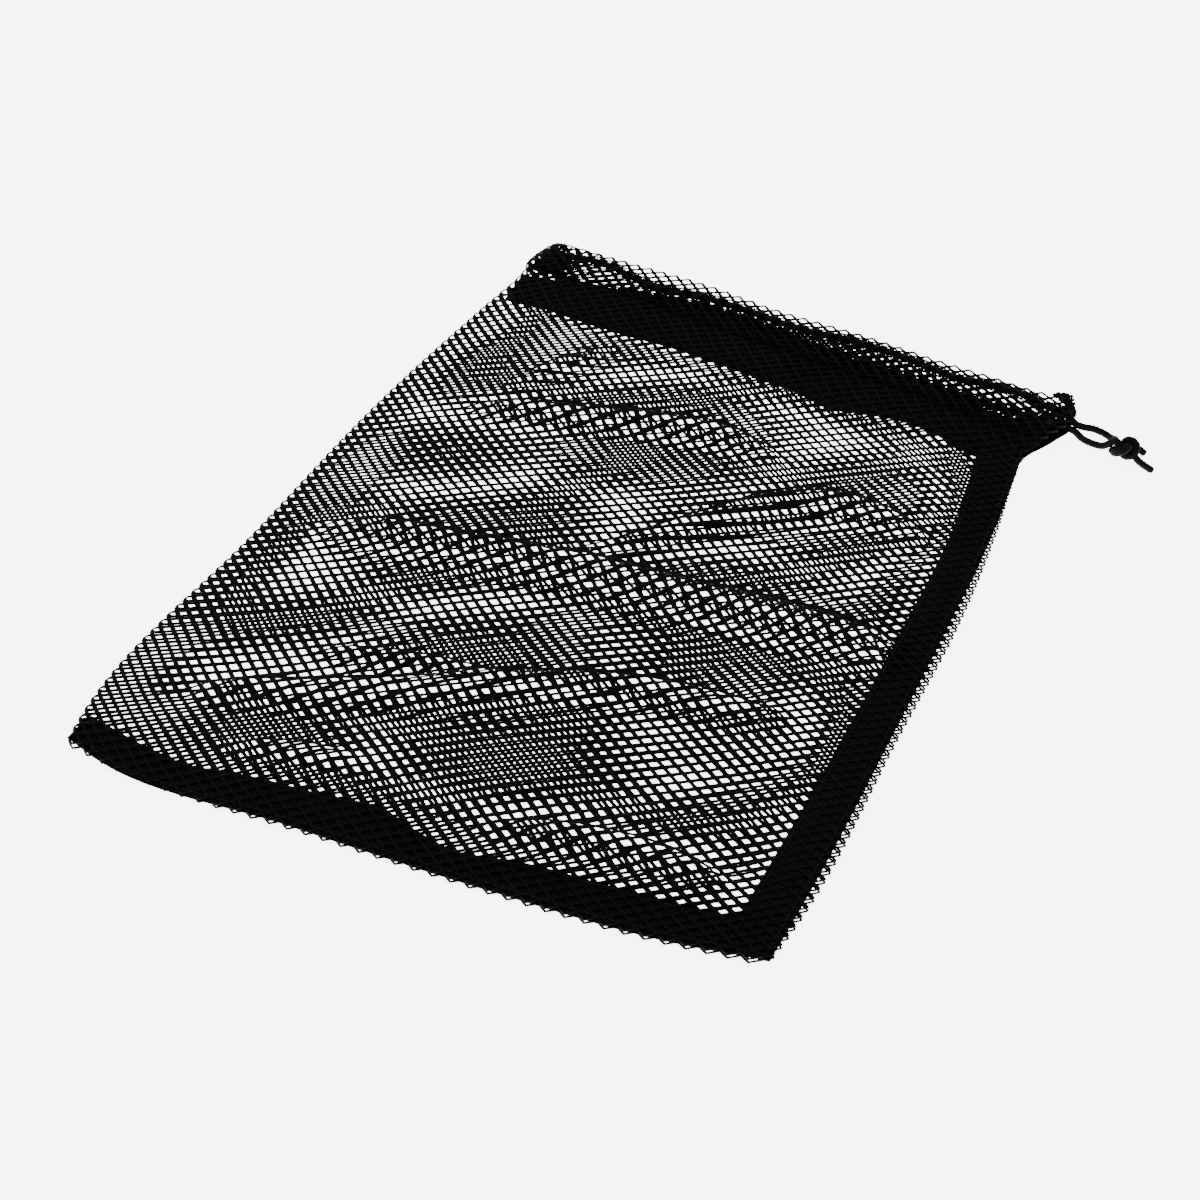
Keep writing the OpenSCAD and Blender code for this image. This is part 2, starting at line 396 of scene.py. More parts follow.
def grid_faces(rows: int, columns: int, closed: bool = False) -> np.ndarray:
    """The four-sided faces of a grid of points.

    Args:
        rows: the number of rows.
        columns: the number of points in a row.
        closed: whether each row's end joins its start.

    Returns:
        The faces.
    """
    i, j = np.meshgrid(np.arange(rows - 1), np.arange(columns if closed else columns - 1), indexing="ij")
    k = (j + 1) % columns
    faces = np.stack([i * columns + j, (i + 1) * columns + j, (i + 1) * columns + k, i * columns + k], -1)
    return faces.reshape(-1, 4)


def deselect_all() -> None:
    """Clears the selection, so that an operator works only on what it adds."""
    for o in bpy.context.selected_objects:
        o.select_set(False)


def face_outwards() -> None:
    """Turns the active piece's faces outwards, in edit mode."""
    bpy.ops.object.mode_set(mode="EDIT")
    bpy.ops.mesh.select_all(action="SELECT")
    bpy.ops.mesh.normals_make_consistent(inside=False)
    bpy.ops.object.mode_set(mode="OBJECT")


def unit_bead(segments: int = 8, rings: int = 6) -> tuple[np.ndarray, list]:
    """A rounded bead one unit long, wide and high, for one stitch.

    Args:
        segments: the faces round it.
        rings: the faces from end to end.

    Returns:
        Its points and its faces.
    """
    deselect_all()
    bpy.ops.mesh.primitive_uv_sphere_add(segments=segments, ring_count=rings, radius=0.5,
                                         rotation=(0, math.pi / 2, 0))
    bpy.ops.object.transform_apply(location=True, rotation=True, scale=True)
    bead = bpy.context.object
    face_outwards()
    points = np.array([v.co for v in bead.data.vertices], float)
    faces = [list(p.vertices) for p in bead.data.polygons]
    bpy.data.objects.remove(bead)
    return points, faces


def copies(name: str, shape: tuple[np.ndarray, list], places: np.ndarray, along: np.ndarray,
           size: Sequence[float], finish: bpy.types.Material) -> bpy.types.Object:
    """One piece made of many copies of a small shape.

    Args:
        name: the piece's name.
        shape: the points and faces that are copied.
        places: where each copy goes.
        along: the direction of each copy's length.
        size: the length, width and height of a copy.
        finish: its material.

    Returns:
        The piece.
    """
    points, faces = shape
    along = along / np.linalg.norm(along, axis=1, keepdims=True)
    side = np.cross(np.array([0, 0, 1.0]), along)
    side /= np.linalg.norm(side, axis=1, keepdims=True)
    up = np.cross(along, side)
    local = points * np.array(size)
    all_points = (places[:, None] + local[None, :, 0, None] * along[:, None]
                  + local[None, :, 1, None] * side[:, None] + local[None, :, 2, None] * up[:, None])
    all_faces = [[v + i * len(points) for v in f] for i in range(len(places)) for f in faces]
    return new_piece(name, all_points.reshape(-1, 3), all_faces, finish)


# ---------------------------------------------------------------- the cloth's shape

@dataclass(frozen=True)
class Crease:
    """A fold in the front layer: a crest with a broad near slope and a steep far one.

    The near slope's reach is in millimetres; the far one's is a multiple of the crest's height.
    """

    crest: tuple
    near: float
    far: float = 1.5
    least: float = 4.0
    drawn: float = 0.82
    drawn_reach: float = 6.5
    drawn_height: float = 6.0

    def nearest(self, x: np.ndarray, y: np.ndarray) -> tuple[np.ndarray, ...]:
        """Finds the nearest part of the crest.

        Args:
            x: places across the bag.
            y: places along the bag.

        Returns:
            For each place, how far it lies from the crest in x and in y, whether it lies beyond the
            crest, and the crest's height there.
        """
        line = smooth_path(self.crest, 6.0)
        best = np.full(x.shape, 1e9)
        found = [np.zeros(x.shape) for _ in range(4)]
        for a, b in zip(line[:-1], line[1:]):
            run = b[:2] - a[:2]
            t = np.clip(((x - a[0]) * run[0] + (y - a[1]) * run[1]) / (run @ run), 0, 1)
            dx, dy = x - a[0] - t * run[0], y - a[1] - t * run[1]
            away = np.hypot(dx, dy)
            beyond = dy * run[0] - dx * run[1] > 0
            for kept, new in zip(found, (dx, dy, beyond, a[2] + t * (b[2] - a[2]))):
                kept[away < best] = new[away < best]
            best = np.minimum(best, away)
        return tuple(found)

    def height(self, x: np.ndarray, y: np.ndarray) -> np.ndarray:
        """How far the crease lifts the cloth at each place."""
        dx, dy, beyond, crest_h = self.nearest(x, y)
        far = np.maximum(self.far * crest_h, self.least)
        reach = np.hypot(dx, dy) / np.where(beyond > 0, far, self.near)
        return crest_h * (0.5 + 0.5 * np.cos(math.pi * np.clip(reach, 0, 1)))

    def pinch(self, x: np.ndarray, y: np.ndarray) -> np.ndarray:
        """How far the cloth is drawn towards the crest at each place, in x and y."""
        dx, dy, _, crest_h = self.nearest(x, y)
        fading = np.exp(-(dx * dx + dy * dy) / self.drawn_reach ** 2)
        return -self.drawn * np.clip(crest_h / self.drawn_height, 0, 1) * fading * np.stack([dx, dy])


@dataclass
class Cloth:
    """The bag's sheet of mesh as it lies: a map from places on the flat cloth to places on the table.

    A place on the cloth is s, the distance from the folded side (positive on the front layer, negative on
    the back), and t, the distance from the bottom edge. All lengths are in millimetres until the end.
    """

    columns: int = 77
    rows: int = 144
    nominal: tuple = (306.0, 424.0)
    left: tuple = ((-208, -149.5), (-190, -153.5), (-60, -153), (60, -152), (135, -146.5), (161, -143.7),
                   (175, -140), (189, -139), (203, -136.8), (214, -133.5))
    right: tuple = ((-197, 150.5), (-182, 152.5), (-60, 153.5), (20, 153), (86, 148), (128, 143), (140, 142),
                    (144, 142.5), (160, 151), (170, 155.5), (180, 153.5), (188.5, 150.5))
    bottom: tuple = ((-148, -208), (-120, -212), (-32, -210.5), (36, -208.5), (100, -204.5), (150.5, -197))
    mouth: tuple = ((-133.5, 214), (-97, 211), (-45, 207.5), (-9, 201.5), (40, 198), (88, 192),
                    (135, 189), (150.5, 188.5))
    seam_v: tuple = (0.938, 0.911)
    creases: tuple = (
        Crease(((-104, 84, 0), (-88, 112, 3.5), (-66, 144, 0)), 12),
        Crease(((-112, 66, 0), (-92, 73, 4), (-57, 81, 6), (-18, 90, 7), (18, 95, 5), (44, 88, 0)), 18),
        Crease(((-135, -46, 0), (-99, -33, 5), (-65, -30, 6.5), (-12, -23, 7.5), (50, -20, 8.5),
                (105, -17, 9), (138, -14, 7)), 26, 1.4),
        Crease(((-20, -16, 0), (8, 8, 4.5), (32, 35, 6), (54, 57, 7), (73, 68, 6.5), (105, 69, 3.5),
                (126, 62, 0)), 18),
        Crease(((-122, -160, 0), (-107, -154, 3.5), (-78, -143, 5.5), (-24, -118, 7), (33, -88, 6.5),
                (86, -75, 3.5), (112, -72, 0)), 20),
        Crease(((-90, -118, 0), (-60, -110, 3.5), (-31, -105, 4), (14, -97, 0)), 13),
        Crease(((20, -180, 0), (41, -174, 3.5), (70, -168, 5), (110, -166, 3), (126, -168, 0)), 13),
        Crease(((-96, -186, 0), (-60, -172, 3), (-30, -168, 0)), 10),
    )
    crease_gain: float = 1.3
    relax_turns: int = 160
    sway_x: tuple = (2.4, 210, 330, 0.6)
    sway_y: tuple = (2.6, -260, 170, 1.1)
    casing_start: tuple = (0.86, 0.08)
    lowest: float = 0.35
    back_waves: tuple = (19, 33, 27)
    back_z: tuple = (0.5, 1.1)
    search_turns: int = 12
    off_fold: float = 3.0
    casing_shift: tuple = (-2.7, 0.0)
    puff: float = 4.4
    seam_z: float = 2.3
    fold_r: float = 1.3
    casing_fold_r: float = 2.45
    casing_z: tuple = (2.4, 7.3, 8.3)

    def __post_init__(self) -> None:
        """Works out the sheet's sizes and settles the cloth."""
        side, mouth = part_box("back_mesh_panel")[1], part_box("casing_fold_mesh")[1]
        self.scale = (float(side.x) * 2 / MM / self.nominal[0], float(mouth.y) * 2 / MM / self.nominal[1])
        self.width, self.length = self.nominal
        self.column = self.width / self.columns
        self.row = self.length / self.rows
        self.t = self.row * np.arange(0, self.rows + 0.25, 0.5)
        self.s = np.concatenate([np.arange(0, 12, 0.5), np.arange(12, self.width, 2.1), [self.width]])
        self.full_s = np.concatenate([-self.s[:0:-1], self.s])
        self.relief_x, self.relief_y = np.arange(-156, 158, 2.0), np.arange(-216, 218, 2.0)
        on_table = np.meshgrid(self.relief_x, self.relief_y, indexing="ij")
        lifts = [self.crease_gain * crease.height(*on_table) for crease in self.creases]
        self.relief = sum(lifts)[..., None]
        self.places = np.concatenate([self._layer(False)[:0:-1], self._layer(True)])
        self.normals = self.outward(self.full_s, self.t, self.places)
        log.info("cloth settled: %d by %d", len(self.full_s), len(self.t))

    def fold_radius(self, v: np.ndarray) -> np.ndarray:
        """The radius of the fold at the left side, at each share of the length."""
        return self.fold_r + (self.casing_fold_r - self.fold_r) * ramp(v, *self.casing_start)

    def outline(self, u: np.ndarray, v: np.ndarray) -> tuple[np.ndarray, np.ndarray]:
        """The place on the table of a share u across and v along the bag.

        Args:
            u: from 0 at the fold to 1 at the side seam.
            v: from 0 at the bottom to 1 at the mouth.

        Returns:
            Its x and y.
        """
        ly, ry, bx, mx = (edge[0][0] + (edge[-1][0] - edge[0][0]) * share for edge, share in (
            (self.left, v), (self.right, v), (self.bottom, u), (self.mouth, u)))
        lx, rx = spline(ly, self.left), spline(ry, self.right)
        by, my = spline(bx, self.bottom), spline(mx, self.mouth)
        c00, c10, c01, c11 = self.bottom[0], self.bottom[-1], self.mouth[0], self.mouth[-1]
        pair = []
        for k, (left, right, low, high) in enumerate(((lx, rx, bx, mx), (ly, ry, by, my))):
            corners = ((1 - u) * (1 - v) * c00[k] + u * (1 - v) * c10[k]
                       + (1 - u) * v * c01[k] + u * v * c11[k])
            pair.append((1 - u) * left + u * right + (1 - v) * low + v * high - corners)
        return pair[0], pair[1]

    def _base(self, u: np.ndarray, v: np.ndarray) -> np.ndarray:
        """The front layer's height without creases: low along the seams, puffed up between them."""
        up = ramp(v, 0.80, 0.13)
        fold_z = self.lowest + 2 * self.fold_radius(v)
        fold_z = fold_z + (self.casing_z[1] - fold_z) * ramp(v, *self.casing_start)
        side_z = self.seam_z + (self.casing_z[1] - self.seam_z) * ramp(v, *self.casing_start)
        middle = self.puff + (self.casing_z[2] - self.puff) * up
        from_fold = smoothstep(u * self.width / 40)
        from_side = ramp((1 - u) * self.width, 20, 30)
        from_bottom = ramp(v * self.length, 16, 28)
        edge = fold_z + (side_z - fold_z) * smoothstep(u * 1.2)
        low = edge + (self.seam_z - edge) * smoothstep(1 - v * self.length / 40) * smoothstep(u * 20)
        return low + (middle - low) * from_fold * from_side * from_bottom

    def _layer(self, is_front: bool) -> np.ndarray:
        """Lays one layer of the sheet.

        Args:
            is_front: True for the front layer, which has the creases.

        Returns:
            The place of each (s, t), in millimetres.
        """
        s, t = np.meshgrid(self.s, self.t, indexing="ij")
        v = t / self.length
        r = self.fold_radius(v)
        arc = r * math.pi / 2
        u = np.clip((s - arc) / (self.width - arc), 0, 1)
        x, y = self.outline(u, v)
        x = x + r * (1 - u)
        middle = self.casing_z[0] + self.casing_fold_r
        low = self.lowest + r
        centre = low + (middle - low) * ramp(v, *self.casing_start)
        if is_front:
            base = self._base(u, v)
            free = smoothstep(u * self.width / 30) * smoothstep((1 - u) * self.width / 26 - 0.4)
            free = free * smoothstep(v * self.length / 40 - 0.3) * smoothstep((0.9 - v) * 12)
            x, y = self._relax(x, y, base, free)
            x = x + free * self._sway(x, y, *self.sway_x)
            y = y + free * self._sway(x, y, *self.sway_y)
            drawn_x, drawn_y = sum(crease.pinch(x, y) for crease in self.creases) * free
            x, y = x + drawn_x, y + drawn_y
            in_bag = smoothstep(u * 8) * ramp(v, 0.88, -0.04) * ramp(u, 0.95, -0.05)
            z = base + self._lift(x, y) * np.maximum(free, in_bag)
        else:
            over_x, bend, over_y = self.back_waves
            wave = 0.5 + 0.5 * np.sin(x / over_x + 1.3 * np.sin(y / bend)) * np.sin(y / over_y)
            inner = smoothstep(u * 12) * smoothstep((1 - u) * 12) * smoothstep(v * 14)
            z = self.back_z[0] + self.back_z[1] * wave * inner
            z = z + (self.casing_z[0] - z) * ramp(v, 0.90, 0.05)
            shifted = ramp(v, 0.88, 0.05) * smoothstep(u * 12)
            x, y = x + self.casing_shift[0] * shifted, y + self.casing_shift[1] * shifted
        phi = np.clip(s / r, 0, math.pi / 2)
        on_fold = s < arc
        sign = 1.0 if is_front else -1.0
        fold_x, fold_y = self.outline(np.zeros_like(v), v)
        x = np.where(on_fold, fold_x + r - r * np.cos(phi), x)
        y = np.where(on_fold, fold_y, y)
        z = np.where(on_fold, centre + sign * r * np.sin(phi), z)
        near = smoothstep((s - arc) / 9)
        z = np.where(on_fold, z, (centre + sign * r) * (1 - near) + z * near)
        return np.stack([x * self.scale[0], y * self.scale[1], z], -1)

    def _lift(self, x: np.ndarray, y: np.ndarray) -> np.ndarray:
        """How far the creases lift the front layer at each place on the table."""
        return self.read(self.relief_x, self.relief_y, self.relief, x, y)[..., 0]

    def _relax(self, x: np.ndarray, y: np.ndarray, base: np.ndarray,
               free: np.ndarray) -> tuple[np.ndarray, np.ndarray]:
        """Lets the threads slide until they are evenly spaced over the creases, not on the plan.

        Args:
            x: each thread crossing's place across the table.
            y: its place along the table.
            base: its height without creases.
            free: 0 where the cloth is held, 1 where it slides.

        Returns:
            The new x and y.
        """
        for _ in range(self.relax_turns):
            z = base + self._lift(x, y)
            p = np.stack([x, y, z], -1)
            ds = np.gradient(p, axis=0)
            dt = np.gradient(p, axis=1)
            normal = np.cross(ds, dt)
            normal /= np.linalg.norm(normal, axis=-1, keepdims=True) + 1e-9
            pull = np.zeros_like(p)
            pull[1:-1] += self._tension(p[:-2], p[1:-1], p[2:], np.diff(self.s)[:-1], np.diff(self.s)[1:])
            pull[:, 1:-1] += (p[:, :-2] + p[:, 2:] - 2 * p[:, 1:-1]) * 0.25
            pull -= np.sum(pull * normal, -1, keepdims=True) * normal
            x = x + free * pull[..., 0]
            y = y + free * pull[..., 1]
        return x, y

    @staticmethod
    def _sway(x: np.ndarray, y: np.ndarray, size: float, over_x: float, over_y: float,
              phase: float) -> np.ndarray:
        """How far the threads stray from even spacing: a wave that repeats over so many millimetres."""
        return size * np.sin(2 * math.pi * (x / over_x + y / over_y) + phase)

    @staticmethod
    def _tension(before: np.ndarray, here: np.ndarray, after: np.ndarray, gap_a: np.ndarray,
                 gap_b: np.ndarray) -> np.ndarray:
        """The pull of the two neighbours across the cloth, where their spacing may differ."""
        wa, wb = (1 / gap_a)[:, None, None], (1 / gap_b)[:, None, None]
        return ((before - here) * wa + (after - here) * wb) / (wa + wb) * 0.5

    @staticmethod
    def outward(s: np.ndarray, t: np.ndarray, places: np.ndarray) -> np.ndarray:
        """The outward direction at each place of a map."""
        n = np.cross(np.gradient(places, s, axis=0), np.gradient(places, t, axis=1))
        return n / (np.linalg.norm(n, axis=-1, keepdims=True) + 1e-12)

    @staticmethod
    def read(s_marks: np.ndarray, t_marks: np.ndarray, table: np.ndarray, s: np.ndarray,
             t: np.ndarray) -> np.ndarray:
        """Reads a map between its marks.

        Args:
            s_marks: the marks across the cloth.
            t_marks: the marks along the cloth.
            table: a value at each pair of marks.
            s: where it is wanted, across.
            t: where it is wanted, along.

        Returns:
            The values.
        """
        i = np.clip(np.searchsorted(s_marks, s, side="right") - 1, 0, len(s_marks) - 2)
        j = np.clip(np.searchsorted(t_marks, t, side="right") - 1, 0, len(t_marks) - 2)
        p = np.clip((s - s_marks[i]) / (s_marks[i + 1] - s_marks[i]), 0, 1)[..., None]
        q = np.clip((t - t_marks[j]) / (t_marks[j + 1] - t_marks[j]), 0, 1)[..., None]
        return ((1 - p) * (1 - q) * table[i, j] + p * (1 - q) * table[i + 1, j]
                + (1 - p) * q * table[i, j + 1] + p * q * table[i + 1, j + 1])

    def seam_t(self, s: np.ndarray) -> np.ndarray:
        """How far along the cloth the casing's seam is, at each s."""
        share = np.clip(np.abs(s) / self.width, 0, 1)
        return self.length * (self.seam_v[0] + (self.seam_v[1] - self.seam_v[0]) * share)

    def panel(self, s: np.ndarray, t: np.ndarray) -> tuple[np.ndarray, np.ndarray]:
        """The place and the outward direction of each point of the single sheet."""
        return (self.read(self.full_s, self.t, self.places, s, t),
                self.read(self.full_s, self.t, self.normals, s, t))

    def height(self, x: np.ndarray, y: np.ndarray, is_front: bool) -> np.ndarray:
        """The height of a layer over the table, found from the nearest points of the map.

        Args:
            x: places across the table.
            y: places along it.
            is_front: which layer.

        Returns:
            The heights.
        """
        u = np.clip((x - self.left[2][1]) / (self.right[2][1] - self.left[2][1]), 0, 1)
        v = np.clip((y - self.left[0][0]) / (self.left[-1][0] - self.left[0][0]), 0, 1)
        sign = 1.0 if is_front else -1.0
        s, t = u * self.width, v * self.length
        for _ in range(self.search_turns):
            here = self.read(self.full_s, self.t, self.places, sign * s, t)
            s = np.clip(s + (x - here[..., 0]), self.off_fold, self.width)
            t = np.clip(t + (y - here[..., 1]), 0, self.length)
        return self.read(self.full_s, self.t, self.places, sign * s, t)[..., 2]


@dataclass
class Casing:
    """The mesh turned over at the mouth: an outer and an inner ply with the drawcord between them."""

    cloth: Cloth
    cord: "Drawcord"
    slack: float = 0.5
    cord_lift: float = 1.6
    reach: float = 3.2
    turn_x: tuple = (-104, -14)
    slip: tuple = (0.3, -0.6)

    def __post_init__(self) -> None:
        """Works out the map of both plies, from the seam over the mouth and back to the seam."""
        cloth = self.cloth
        start = cloth.length * min(cloth.seam_v) - 3 * cloth.row
        outer = cloth.t[cloth.t >= start]
        self.t = np.concatenate([outer, 2 * cloth.length - outer[-2::-1]])
        flat_t = np.minimum(self.t, 2 * cloth.length - self.t)
        s, t = np.meshgrid(cloth.full_s, flat_t, indexing="ij")
        middle, out = cloth.panel(s, t)
        seam = cloth.seam_t(s)
        q = np.clip((t - seam) / (cloth.length - seam), 0, 1)
        near_turn = ramp(middle[..., 0], *self.turn_x)
        front_y = spline(middle[..., 0], self.cord.front_run[::-1])
        back_y = spline(middle[..., 0], self.cord.back_run)
        off = (middle[..., 1] - np.where(s > 0, front_y, back_y)) / self.reach
        over_cord = np.maximum(np.exp(-off ** 2), near_turn)
        apart = np.sqrt(np.clip(1 - (2 * q - 1) ** 6, 0, 1))
        high = (self.slack + self.cord_lift * over_cord) * apart + cloth.lowest * (1 - q)
        side = np.where(self.t <= cloth.length, 1.0, -1.0)
        self.places = middle + out * (high * side[None])[..., None]
        upper = side[None] * np.sign(s) * smoothstep(np.abs(s) / 20) * apart
        self.places = self.places + upper[..., None] * np.array([*self.slip, 0.0])
        self.normals = Cloth.outward(cloth.full_s, self.t, self.places)

    def at(self, s: np.ndarray, t: np.ndarray) -> tuple[np.ndarray, np.ndarray]:
        """The place and the outward direction of each point of the two plies."""
        return (Cloth.read(self.cloth.full_s, self.t, self.places, s, t),
                Cloth.read(self.cloth.full_s, self.t, self.normals, s, t))


@dataclass
class Knit:
    """Knitted mesh: diamond holes in a staggered pattern, with yarn between them. Millimetres."""

    cloth: Cloth
    hole_across: float = 2.5
    hole_along: float = 1.85
    bridge: float = 1.75
    knot_h: float = 0.44
    bridge_h: float = 0.36
    edge_yarn: float = 1.0

    def yarn_share(self) -> float:
        """The share of the cloth that is yarn and not hole."""
        x, y = self.cell()[0].T
        hole_area = abs(float(np.sum(x * np.roll(y, -1) - y * np.roll(x, -1)))) / 2
        return 1 - hole_area / (2 * self.cloth.column * self.cloth.row)

    def cell(self) -> tuple[np.ndarray, np.ndarray, np.ndarray]:
        """One hole and the yarn round it.

        Returns:
            The hole's edge, the middle of the yarn round it, and the yarn's half height there.
        """
        a, b = self.cloth.column, self.cloth.row
        quarter = math.hypot(a, b) / 2
        slant = 1 - self.bridge / 2 / quarter
        corners = np.array([(1, 0), (0.5, 0.5), (0, 1), (-0.5, 0.5),
                            (-1, 0), (-0.5, -0.5), (0, -1), (0.5, -0.5)])
        is_bridge = np.abs(corners).min(axis=1) > 0
        rim = corners * (a, b)
        hole = np.where(is_bridge[:, None], rim * slant, corners * (self.hole_across, self.hole_along))
        return hole, rim, np.where(is_bridge, self.bridge_h, self.knot_h)

    def net(self, name: str, keep: Callable, at: Callable, rows: range, finish: bpy.types.Material,
            ) -> bpy.types.Object:
        """Knits a piece of net.

        Args:
            name: the piece's name.
            keep: says, for the s and t of each hole's middle, whether it belongs to this piece.
            at: gives the place and outward direction of each s and t.
            rows: the rows of holes to choose from.
            finish: the yarn's material.

        Returns:
            The piece.
        """
        cloth = self.cloth
        i, j = np.meshgrid(np.arange(-cloth.columns, cloth.columns + 1), np.array(rows), indexing="ij")
        chosen = (i + j) % 2 == 0
        s, t = i[chosen] * cloth.column, j[chosen] * cloth.row
        held = keep(s, t)
        middles = np.stack([s[held], t[held]], 1)
        hole, rim, high = self.cell()
        count, around = len(middles), len(rim)
        rims = (middles[:, None] + rim[None]).reshape(-1, 2)
        keys, first, which = np.unique(np.round(rims * 100).astype(np.int64), axis=0,
                                       return_index=True, return_inverse=True)
        which = which.reshape(count, around)
        reach = hole * (1 + self.edge_yarn / np.linalg.norm(hole, axis=1, keepdims=True))
        rounded = (middles[:, None] + reach[None]).reshape(-1, 2)
        at_edge = np.bincount(which.ravel(), minlength=len(first)) == 1
        rim_st = np.where(at_edge[:, None], rounded[first], rims[first])
        rim_high = np.tile(high, count)[first]
        hole_st = (middles[:, None] + hole[None]).reshape(-1, 2)
        hole_place, _ = at(hole_st[:, 0], hole_st[:, 1])
        rim_place, rim_out = at(rim_st[:, 0], rim_st[:, 1])
        rise = rim_out * rim_high[:, None]
        points = np.concatenate([hole_place, rim_place + rise, rim_place - rise]) * MM
        holes = np.arange(count * around).reshape(count, around)
        top, low = which + count * around, which + count * around + len(keys)
        nxt = np.roll(np.arange(around), -1)
        upper = np.stack([holes, top, top[:, nxt], holes[:, nxt]], -1).reshape(-1, 4)
        lower = np.stack([holes[:, nxt], low[:, nxt], low, holes], -1).reshape(-1, 4)
        pairs = np.stack([which, which[:, nxt]], -1).reshape(-1, 2)
        _, back, number = np.unique(np.sort(pairs, axis=1), axis=0, return_inverse=True, return_counts=True)
        edge = pairs[number[back.ravel()] == 1]
        base = count * around
        border = np.stack([edge[:, 1] + base, edge[:, 0] + base, edge[:, 0] + base + len(keys),
                           edge[:, 1] + base + len(keys)], -1)
        return new_piece(name, points, np.concatenate([upper, lower, border]).tolist(), finish)


# ---------------------------------------------------------------- the sewn parts

def gather(piece: bpy.types.Object, cloth: Cloth, slot: Slot, *nodes: str) -> bpy.types.Object:
    """Bakes a piece's transform and hides the CAD parts it stands for.

    Args:
        piece: the piece.
        cloth: not used.
        slot: not used.
        nodes: the CAD nodes it stands for.

    Returns:
        The piece.
    """
    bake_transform(piece)
    if nodes:
        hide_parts(*nodes)
    return piece


@dataclass
class MeshBody:
    """The knitted sheet: back layer, front layer and the fold between them."""

    cloth: Cloth
    knit: Knit
    finish: bpy.types.Material
    body_share: float = 0.925

    def build(self) -> None:
        cloth = self.cloth

        def part(name: str, node: str, side: int) -> bpy.types.Object:
            """Knits one side of the sheet: -1 for the back, 1 for the front, 0 for the fold."""
            def keep(s: np.ndarray, t: np.ndarray) -> np.ndarray:
                """True for this side's holes, under the casing's seam and inside the raw edge."""
                in_body = (t < cloth.seam_t(s)) & (np.abs(s) < cloth.width - 0.5 * cloth.column)
                return (np.sign(np.round(s)) == side) & in_body

            piece = self.knit.net(name, keep, cloth.panel, range(1, cloth.rows), self.finish)
            return gather(piece, cloth, Slot.MESH, node)

        back = part("back_knitted_layer", "back_mesh_panel", -1)
        front = part("front_knitted_layer", "front_mesh_panel", 1)
        part("knitted_side_fold", "side_fold_mesh", 0)
        flat = (cloth.width * MM, cloth.length * self.body_share * MM)
        yarn = self.knit.yarn_share() * flat[0] * flat[1]


@dataclass
class CordCasings:
    """The two casings at the mouth and the turn between them."""

    cloth: Cloth
    cord: "Drawcord"
    finish: bpy.types.Material
    turn_columns: int = 2
    row_share: float = 0.12
    both_plies_share: float = 0.15
    flat_knit: tuple = (2.6, 1.95, 1.4)
    bunched_knit: tuple = (1.5, 1.1, 2.8)

    def build(self) -> None:
        """Knits the casings, each with its outer and inner ply."""
        cloth, casing = self.cloth, Casing(self.cloth, self.cord)
        low, high = 1 - self.row_share, 1 + self.row_share
        rows = range(int(cloth.rows * low), int(cloth.rows * high) + 1)
        edge = self.turn_columns * cloth.column

        def above_seam(s: np.ndarray, t: np.ndarray) -> np.ndarray:
            """True over the casing's seam, on either ply."""
            flat = np.minimum(t, 2 * cloth.length - t)
            return (flat >= cloth.seam_t(s)) & (np.abs(s) < cloth.width - 0.5 * cloth.column)

        def part(name: str, node: str, knit: Knit, side: Callable) -> bpy.types.Object:
            """Knits the part of the casing that lies on one side."""
            piece = knit.net(name, lambda s, t: side(s) & above_seam(s, t), casing.at, rows, self.finish)
            return gather(piece, cloth, Slot.MESH, node)

        flat_knit, bunched_knit = Knit(cloth, *self.flat_knit), Knit(cloth, *self.bunched_knit)
        back = part("back_knitted_casing", "back_cord_casing", flat_knit, lambda s: s < -edge)
        front = part("front_knitted_casing", "front_cord_casing", flat_knit, lambda s: s > edge)
        part("knitted_casing_turn", "casing_fold_mesh", bunched_knit, lambda s: np.abs(s) <= edge)
        flat = (cloth.width * MM, cloth.length * self.both_plies_share * MM)
        yarn = flat_knit.yarn_share() * flat[0] * flat[1]


